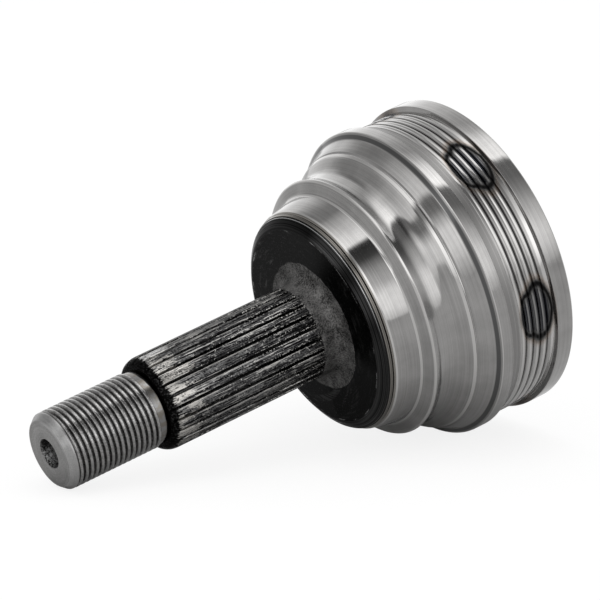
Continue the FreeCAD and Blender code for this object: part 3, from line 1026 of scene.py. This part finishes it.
def smooth(piece: bpy.types.Object, angle: float) -> None:
    """Shade a piece smooth, except over its sharp edges.

    Args:
        piece: the piece.
        angle: the sharpest edge that is smoothed, in degrees.
    """
    mesh = piece.data
    mesh.polygons.foreach_set("use_smooth", [True] * len(mesh.polygons))
    mesh.set_sharp_from_angle(angle=math.radians(angle))


def place(
    piece: bpy.types.Object, body: str, slot: Slot, finish: bpy.types.Material, nodes: Iterable[str] = ()
) -> None:
    """Finish a piece and hand it to the body that carries it.

    Args:
        piece: the piece, with its mesh final.
        body: the body that it moves with.
        slot: the record's material slot; not used.
        finish: its material.
        nodes: the solids that it stands for.
    """
    piece.data.materials.clear()
    piece.data.materials.append(finish)
    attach(piece, body)
    for node in nodes:
        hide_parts(node)
    log.info("%s: %d faces on %s", piece.name, len(piece.data.polygons), body)


@dataclass(frozen=True)
class Thread:
    """The stub's thread: one grid wound into a helix by rule, with its ends turned down."""

    pitch: float = 1.5
    crest: float = 9.9
    depth: float = 0.92
    start: float = -86.7
    end: float = -110.95
    start_radius: float = 8.85
    end_radius: float = 9.3
    start_slope: float = 1.6
    end_slope: float = 1.2
    columns_per_turn: int = 14
    rows: int = 128
    root_and_crest: tuple[float, float] = (0.06, 0.66)

    def build(self, finish: bpy.types.Material) -> bpy.types.Object:
        """Make the thread as one closed piece.

        Args:
            finish: its material.

        Returns:
            The thread.
        """
        turns = math.ceil((self.start - self.end) / self.pitch) + 2
        sizes = {
            "Pitch": ("Float", self.pitch * MM),
            "Crest": ("Float", self.crest * MM),
            "Depth": ("Float", self.depth * MM),
            "Start": ("Float", self.start * MM),
            "End": ("Float", self.end * MM),
            "Columns": ("Int", turns * self.columns_per_turn + 1),
            "Rows": ("Int", self.rows + 1),
            "Finish": ("Material", finish),
        }
        graph = Graph("wound_thread", sizes)
        counts = {"Vertices X": graph.size("Columns"), "Vertices Y": graph.size("Rows")}
        grid = graph.node("GeometryNodeMeshGrid", {"Size X": 1.0, "Size Y": 1.0, **counts})
        spot = graph.node("ShaderNodeSeparateXYZ", {0: graph.node("GeometryNodeInputPosition")})
        column = (graph.value(spot.outputs[0]) + 0.5) * float(turns)
        share = graph.value(spot.outputs[1]) + 0.5
        wound = graph.size("Start") + graph.size("Pitch") * (1.0 - column + share)
        low, high = graph.size("End"), graph.size("Start")
        along = wound.math("MINIMUM", high).either(low)
        flank = (column.math("FRACT") * 2.0 - 1.0).math("ABSOLUTE").rise(*self.root_and_crest)
        helix = graph.size("Crest") - graph.size("Depth") * (1.0 - flank)
        tip = self.end_radius * MM + (along - low) * self.end_slope
        lead = self.start_radius * MM + (high - along) * self.start_slope
        out = helix.math("MINIMUM", tip).math("MINIMUM", lead)
        angle = share * (2 * math.pi)
        spun = graph.vector(along, 0.0 - out * angle.math("SINE"), out * angle.math("COSINE"))
        graph.close(graph.node("GeometryNodeSetPosition", {0: grid, "Position": spun}))
        piece = new_piece("stub_thread", bmesh.new(), outward=False)
        graph.apply(piece)
        mend(piece, 5e-7, ends=True)
        return piece


@dataclass(frozen=True)
class Spline:
    """The stub's spline: gaps with rounded floors that run out at the neck, and a rounded nose."""

    crest: float = 12.0
    root: float = 10.9
    gap_width: float = 0.84
    floor_width: float = 0.26
    start: float = -40.0
    gap_start: float = -40.2
    run_in: float = 1.8
    run_in_step: float = 0.2
    run_in_steps: int = 12
    body_step: float = 1.98
    body_steps: int = 19
    nose_start: float = -82.0
    nose_length: float = 3.064
    nose_drop: float = 1.6
    nose_share: float = 0.98

    FLANK: ClassVar[Stops] = ((0.30, 0.38), (0.62, 0.76), (0.84, 0.93))
    NOSE_PLACES: ClassVar[Sequence[float]] = (
        -82.0, -82.4, -82.8, -83.2, -83.6, -83.9, -84.2,
        -84.4, -84.6, -84.75, -84.88, -84.97, -85.03, -85.064,
    )

    def section(self) -> list[tuple[float, float]]:
        """One gap with half a tooth on each side.

        Returns:
            (angle, height) points, with the height from 0 at the root to 1 at the crest.
        """
        pitch = 2 * math.pi / TOOTH_COUNT
        gap, floor = self.gap_width / 2 / self.crest, self.floor_width / 2 / self.root
        half = [(0.0, 0.0), (floor * 0.7, 0.0), (floor, 0.05)]
        half += [(floor + (gap - floor) * part, height) for part, height in self.FLANK]
        half += [(gap, 0.985), (gap + 0.008, 1.0), ((gap + pitch / 2) / 2 + 0.01, 1.0), (pitch / 2, 1.0)]
        return [(-angle, height) for angle, height in reversed(half)] + half[1:]

    def radius(self, along: float, height: float) -> float:
        """How far the spline reaches out.

        Args:
            along: the place, in millimetres.
            height: the height in the section, from 0 to 1.

        Returns:
            The radius, in millimetres.
        """
        run = min(max((self.gap_start - along) / self.run_in, 0.0), 1.0)
        open_share = math.sqrt(1 - (1 - run) ** 2)
        past = max(self.nose_start - along, 0.0) / self.nose_length
        bend = (1 - math.sqrt(1 - self.nose_share * past * past)) / (1 - math.sqrt(1 - self.nose_share))
        tooth = self.crest - (self.crest - self.root) * (1 - height) * open_share
        return min(tooth, self.crest - self.nose_drop * bend)

    def build(self, finish: bpy.types.Material) -> bpy.types.Object:
        """Make the spline as one closed piece.

        Args:
            finish: its material.

        Returns:
            The spline.
        """
        places = [self.start - self.run_in_step * tick for tick in range(self.run_in_steps + 1)]
        body_start = places[-1]
        places += [body_start - self.body_step * tick for tick in range(1, self.body_steps + 1)]
        places += self.NOSE_PLACES
        form = bmesh.new()
        rows = [[form.verts.new((places[0] * MM, 0.0, 0.0))]]
        for along in places:
            points = [
                about_axis(along * MM, self.radius(along, height) * MM, angle + FIRST_TURN)
                for angle, height in self.section()
            ]
            rows.append([form.verts.new(point) for point in points])
        rows.append([form.verts.new((places[-1] * MM, 0.0, 0.0))])
        skin(form, rows, around=False)
        piece = new_piece("stub_spline", form, outward=False)
        ring_of(piece, TOOTH_COUNT, finish, join=False)
        mend(piece, 2e-7)
        return piece


@dataclass(frozen=True)
class OuterRace:
    """Bell, neck and stub: one forging, dressed in six pieces. Sizes are in millimetres."""

    track_offset: float = 4.0
    track_radius: float = 26.814
    groove_radius: float = 8.45
    track_half_angle: float = 52.0
    track_steps: int = 56
    bell_sphere: float = 29.364
    cavity_end: float = -24.664
    rib_place: float = 7.2
    rib_pitch: float = 2.2
    rib_count: int = 4
    rib_radius: float = 39.214
    neck_place: float = -31.5
    neck_radius: float = 28.8
    bell_segments: int = 256
    neck_segments: int = 240
    stub_segments: int = 160
    track_sides: int = 72

    RIB: ClassVar[Sequence[tuple[float, float, float]]] = (
        (0.36, 0.0, 0.06), (0.12, -0.45, 0.08), (-0.12, -0.45, 0.08), (-0.36, 0.0, 0.06),
        (-0.78, 0.02, 0.06), (-1.16, -0.16, 0.06), (-1.26, -0.04, 0.05),
    )

    def bell_section(self) -> list[Vector]:
        """The bell's line: floor of the cavity, sphere, mouth, rim, outside and back.

        Returns:
            Points as (along, out) in metres.
        """
        section = [Corner(self.cavity_end, 0.0), *arc(self.bell_sphere, self.cavity_end, 10.5)]
        section += corners(
            (14.5, 33.5, 0.3), (14.5, 40.014, 0.15), (14.0, 40.514, 0.15), (9.5, 40.514, 0.2),
            (9.3, 39.30, 0.12), (8.5, self.rib_radius, 0.06),
        )
        for number in range(self.rib_count):
            middle = self.rib_place - self.rib_pitch * number
            section += [Corner(middle + along, self.rib_radius + out, bend) for along, out, bend in self.RIB]
        section += corners(
            (-1.3, self.rib_radius, 0.05), (-1.45, 39.114, 0.05), (-4.1, 39.154, 0.15), (-4.35, 40.4, 0.2),
            (-7.5, 40.4, 0.12), (-8.7, 38.714, 0.15), (-12.0, 37.0, 0.05), (-12.3, 36.5, 0.06),
            (-12.6, 36.45, 0.06), (-12.8, 36.7, 0.08), (-13.9, 36.0, 0.3), (-16.7, 33.4, 4.0),
            (-20.3, 33.1, 12.0), (-22.5, 33.8, 1.5), (-22.95, 33.9, 0.12), (-23.3, 33.6, 0.12),
            (-24.5, 31.014, 0.2), (-25.1, 30.314, 0.5), (-31.1, 29.03, 0.12),
            (self.neck_place, self.neck_radius), (self.neck_place, 0.0),
        )
        return rounded(section)

    def neck_section(self) -> list[Vector]:
        """The neck's line: from the bell's back over the coated ring to the stub."""
        section = corners(
            (self.neck_place, 0.0), (self.neck_place, self.neck_radius), (-31.8, 28.6, 0.03),
            (-31.9, 28.35, 0.03), (-32.12, 28.3, 0.03), (-32.2, 28.5, 0.03), (-32.75, 28.25, 0.06),
            (-32.85, 28.0, 0.04), (-33.05, 27.9, 0.04), (-33.15, 28.0, 0.04), (-33.35, 27.8, 0.06),
            (-34.664, 25.95, 1.9), (-34.664, 12.04, 4.6), (-40.1, 12.04, 0.1), (-40.3, 11.4), (-40.3, 0.0),
        )
        return rounded(section)

    def relief_section(self) -> list[Vector]:
        """The plain relief between the spline and the thread."""
        return rounded(corners((-84.9, 0.0), (-84.9, 9.55), (-87.7, 9.55), (-87.7, 0.0)))

    def tip_section(self) -> list[Vector]:
        """The stub's end face with its turning centre."""
        section = corners(
            (-104.864, 0.0), (-107.0, 1.9, 0.2), (-109.6, 2.9, 0.4), (-112.9, 3.75, 0.1),
            (-113.064, 3.95, 0.05), (-113.064, 8.5, 0.5), (-111.45, 9.8, 0.5), (-111.0, 9.85, 0.2),
            (-110.85, 9.3), (-110.7, 8.0), (-104.0, 8.0), (-104.0, 0.0),
        )
        return rounded(section)

    def track_tool(self) -> bpy.types.Object:
        """The tube that cuts one ball track.

        Returns:
            The tube, over the first track.
        """
        shares = (2 * tick / self.track_steps - 1 for tick in range(self.track_steps + 1))
        swings = [math.radians(self.track_half_angle * share) for share in shares]
        up = Vector(about_axis(0.0, 1.0, FIRST_TURN))
        ahead = Vector((1.0, 0.0, 0.0))
        centre = ahead * self.track_offset * MM
        normals = [ahead * math.sin(swing) + up * math.cos(swing) for swing in swings]
        path = [centre + normal * self.track_radius * MM for normal in normals]
        side = up.cross(ahead)
        return tube("track_tool", path, normals, side, self.groove_radius * MM, self.track_sides)

    def dress(
        self,
        piece: bpy.types.Object,
        angle: float,
        finish: bpy.types.Material,
        nodes: Iterable[str] = (),
    ) -> None:
        """Smooth one of the forging's pieces and put it on the bell's body."""
        smooth(piece, angle)
        place(piece, Body.BELL.value, Slot.RACE, finish, nodes)

    def build(self) -> None:
        """Make and dress the forging."""
        steel, oxide, rolled = TurnedSteel().build(), BlackOxide().build(), ThreadSteel().build()
        bell = turned("bell", self.bell_section(), self.bell_segments)
        tool = self.track_tool()
        ring_of(tool, TRACK_COUNT, steel, join=True)
        carve(bell, tool)
        self.dress(bell, 24.0, steel, ["outer_race"])
        neck = turned("neck", self.neck_section(), self.neck_segments)
        self.dress(neck, 40.0, CoatedNeck().build())
        self.dress(Spline().build(oxide), 50.0, oxide)
        relief = turned("stub_relief", self.relief_section(), self.stub_segments)
        self.dress(relief, 30.0, ReliefSteel().build())
        self.dress(Thread().build(rolled), 60.0, rolled)
        tip = turned("stub_tip", self.tip_section(), self.stub_segments)
        self.dress(tip, 30.0, TipSteel().build())


@dataclass(frozen=True)
class Insides:
    """Star, cage, circlip and balls, which show in the open mouth."""

    ball_radius: float = 8.25 * MM
    ball_segments: int = 96

    @staticmethod
    def smooth_copy(node: str, angle: float) -> bpy.types.Object:
        """A solid's mesh with its points merged and its round faces smooth.

        Args:
            node: the solid's name.
            angle: the sharpest edge that is smoothed, in degrees.

        Returns:
            The copy, which is no longer the solid's own mesh.
        """
        form = bmesh.new()
        form.from_mesh(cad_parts[node].data)
        bmesh.ops.remove_doubles(form, verts=form.verts, dist=1e-7)
        piece = new_piece(f"{node}_dressed", form)
        smooth(piece, angle)
        return piece

    def ball(self, node: str) -> bpy.types.Object:
        """A true sphere in the place of a ball's solid.

        Args:
            node: the solid's name.

        Returns:
            The sphere.
        """
        low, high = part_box(node)
        form = bmesh.new()
        bmesh.ops.create_uvsphere(
            form,
            u_segments=self.ball_segments,
            v_segments=self.ball_segments // 2,
            radius=self.ball_radius,
            matrix=Matrix.Translation((low + high) / 2),
        )
        piece = new_piece(f"{node}_polished", form)
        smooth(piece, 60.0)
        return piece

    def build(self) -> None:
        """Make and dress the inner pieces."""
        ground = PlainSteel("ground_steel", 0.32, 0.22).build()
        dark = PlainSteel("cage_steel", 0.16, 0.34).build()
        spring = PlainSteel("spring_steel", 0.12, 0.3).build()
        polished = PlainSteel("ball_steel", 0.55, 0.07, 0.001 * MM, 0.05).build()
        star, clip = self.smooth_copy("inner_race", 25.0), self.smooth_copy("circlip", 40.0)
        place(star, Body.STAR.value, Slot.GROUND, ground, ["inner_race"])
        place(clip, Body.STAR.value, Slot.SPRING, spring, ["circlip"])
        cage = self.smooth_copy("ball_cage", 25.0)
        place(cage, Body.CAGE.value, Slot.CAGE, dark, ["ball_cage"])
        for number in range(1, TRACK_COUNT + 1):
            node = f"ball_{number}"
            place(self.ball(node), node, Slot.BALL, polished, [node])


@dataclass(frozen=True)
class Studio:
    """Floor, camera and light."""

    tip_edge: Vector = Vector((-111.3, 0.0, -9.9)) * MM
    collar_edge: Vector = Vector((-7.5, 0.0, -40.35)) * MM
    camera_place: Vector = Vector((-500.43, -817.21, 362.33)) * MM
    camera_ahead: Vector = Vector((0.4618, 0.8137, -0.3530))
    camera_roll: float = math.radians(0.2)
    lens_pixels: float = 4110.0
    picture_pixels: float = 600.0
    sensor_width: float = 36.0
    card_level: float = 3.0
    end_level: float = 1.3
    lamp_place: Vector = Vector((0.15, -0.1, 0.9))
    lamp_size: float = 0.5
    lamp_power: float = 1.0
    floor_radius: float = 6.0

    MOUTH_CARDS: ClassVar[Stops] = (
        (-180.0, 0.25), (-88.0, 0.50), (-62.0, 0.42), (-38.0, 0.32), (-24.0, 0.27), (-15.0, 0.38),
        (-5.0, 0.70), (14.0, 0.98), (17.5, 0.10), (33.0, 0.11), (46.0, 0.25), (58.0, 0.45),
        (70.0, 0.66), (84.0, 0.60), (97.0, 0.38), (98.5, 0.28),
    )
    MIDDLE_CARDS: ClassVar[Stops] = (
        (-180.0, 0.20), (-86.0, 0.40), (-66.0, 0.36), (-52.0, 0.17), (-38.0, 0.12), (-26.0, 0.15),
        (-15.0, 0.36), (-3.0, 0.54), (14.0, 0.82), (17.5, 0.02), (32.0, 0.04), (44.0, 0.26),
        (58.0, 0.39), (68.0, 0.68), (83.0, 0.70), (96.0, 0.34), (98.5, 0.20),
    )
    STUB_CARDS: ClassVar[Stops] = (
        (-180.0, 0.15), (-80.0, 0.22), (-50.0, 0.17), (-30.0, 0.20), (-10.0, 0.36), (2.0, 0.47),
        (13.0, 0.52), (18.0, 0.10), (29.0, 0.13), (44.0, 0.60), (60.0, 0.56), (72.0, 0.44),
        (84.0, 0.26), (120.0, 0.26),
    )

    def floor_up(self) -> Vector:
        """The floor's normal: the joint lies on its tip's edge and its collar."""
        run = self.collar_edge - self.tip_edge
        return Vector((-run.z, 0.0, run.x)).normalized()

    def build(self) -> None:
        """Make the stage."""
        self.camera()
        self.floor()
        self.world()
        self.lamp()
        bpy.context.scene.view_settings.view_transform = "Standard"

    def camera(self) -> None:
        """Stand the camera beside the stub's tip, looking down at the bell."""
        data = bpy.data.cameras.new("camera")
        data.sensor_width = self.sensor_width
        data.lens = self.lens_pixels / self.picture_pixels * data.sensor_width
        data.clip_start, data.clip_end = 0.05, 50.0
        eye = bpy.data.objects.new("camera", data)
        ahead = self.camera_ahead.normalized()
        right = ahead.cross(self.floor_up()).normalized()
        above = right.cross(ahead)
        turn = Matrix((right, above, -ahead)).transposed().to_4x4()
        turn @= Matrix.Rotation(self.camera_roll, 4, "Z")
        eye.matrix_world = Matrix.Translation(self.camera_place) @ turn
        bpy.context.scene.collection.objects.link(eye)
        bpy.context.scene.camera = eye

    def floor(self) -> None:
        """A wide white floor; from below it isn't there."""
        form = bmesh.new()
        turn = self.floor_up().to_track_quat("Z", "X").to_matrix().to_4x4()
        spot = Matrix.Translation(self.tip_edge) @ turn
        bmesh.ops.create_circle(form, cap_ends=True, radius=self.floor_radius, segments=96, matrix=spot)
        piece = new_piece("floor", form, outward=False)
        piece.data.materials.append(self.floor_finish())

    @staticmethod
    def floor_finish() -> bpy.types.Material:
        """White to the eye, with a soft shadow, and plain in the steel's reflections.

        Returns:
            The floor's material.
        """
        material = bpy.data.materials.new("floor_white")
        material.use_nodes = True
        material.node_tree.nodes.clear()
        tree = Tree(material.node_tree)
        path = tree.node("ShaderNodeLightPath").outputs
        mirrored = tree.value(path["Is Glossy Ray"]).either(path["Is Transmission Ray"])
        matte = tree.node("ShaderNodeBsdfDiffuse", {"Color": grey(0.17)})
        plain = tree.node("ShaderNodeBsdfDiffuse", {"Color": grey(0.8)})
        clear = tree.node("ShaderNodeBsdfTransparent")
        glow = {"Color": grey(1.0), "Strength": path["Is Camera Ray"]}
        dimmed = tree.node("ShaderNodeMixShader", {0: 0.15, 1: tree.node("ShaderNodeEmission", glow)})
        white = tree.node("ShaderNodeAddShader", {0: matte, 1: dimmed})
        both = tree.node("ShaderNodeMixShader", {0: mirrored, 1: white, 2: plain})
        back = tree.node("ShaderNodeNewGeometry").outputs["Backfacing"]
        whole = tree.node("ShaderNodeMixShader", {0: back, 1: both, 2: clear})
        tree.node("ShaderNodeOutputMaterial", {0: whole})
        return material

    def world(self) -> None:
        """The room: white to the eye, and banded round the joint's axis in the steel."""
        world = bpy.data.worlds.new("room")
        bpy.context.scene.world = world
        world.use_nodes = True
        world.node_tree.nodes.clear()
        tree = Tree(world.node_tree)
        facing = tree.node("ShaderNodeTexCoord").outputs["Generated"]
        ways = tree.node("ShaderNodeSeparateXYZ", {0: facing})
        ahead, across, above = (tree.value(socket) for socket in ways.outputs)
        turn = (0 - across).math("ARCTAN2", above) / (2 * math.pi) + 0.5
        mouth_side, middle, stub_side = (
            self.cards(tree, turn, stops) for stops in (self.MOUTH_CARDS, self.MIDDLE_CARDS, self.STUB_CARDS)
        )
        front = ahead.rise(0.12, 0.45).blend(middle, mouth_side)
        banded = ahead.rise(-0.32, 0.08).blend(stub_side, front)
        dimmed = banded * ahead.rise(0.5, 0.85).blend(1.0, 0.5) * self.card_level
        sheen = ahead.math("ABSOLUTE").rise(0.88, 0.97).blend(dimmed, self.end_level)
        path = tree.node("ShaderNodeLightPath").outputs
        level = tree.value(path["Is Glossy Ray"]).blend(0.9, sheen)
        strength = tree.value(path["Is Camera Ray"]).blend(level, 1.0)
        sky = tree.node("ShaderNodeBackground", {"Color": grey(1.0), "Strength": strength})
        tree.node("ShaderNodeOutputWorld", {0: sky})

    @staticmethod
    def cards(tree: Tree, turn: Value, stops: Stops) -> Value:
        """How bright the room is by the way round the joint's axis.

        Args:
            tree: the room's nodes.
            turn: the way round, 0 to 1 from below over the back, the top and the front.
            stops: (way round in degrees from the top, brightness).

        Returns:
            The brightness.
        """
        places = [(degrees / 360 + 0.5, level) for degrees, level in stops]
        return tree.value(tree.node("ShaderNodeValToRGB", {0: turn}, stops=places))

    def lamp(self) -> None:
        """A soft lamp that looks at the joint."""
        data = bpy.data.lights.new("top_softbox", "AREA")
        data.shape, data.size, data.energy = "DISK", self.lamp_size, self.lamp_power
        lamp = bpy.data.objects.new("top_softbox", data)
        lamp.location = self.lamp_place
        lamp.visible_glossy = False
        lamp.rotation_euler = (-self.lamp_place).to_track_quat("-Z", "Y").to_euler()
        bpy.context.scene.collection.objects.link(lamp)


def main() -> None:
    """Build the joint and its studio."""
    logging.basicConfig(level=logging.INFO, format="%(message)s")
    OuterRace().build()
    Insides().build()
    Studio().build()


if __name__ == "__main__":
    main()
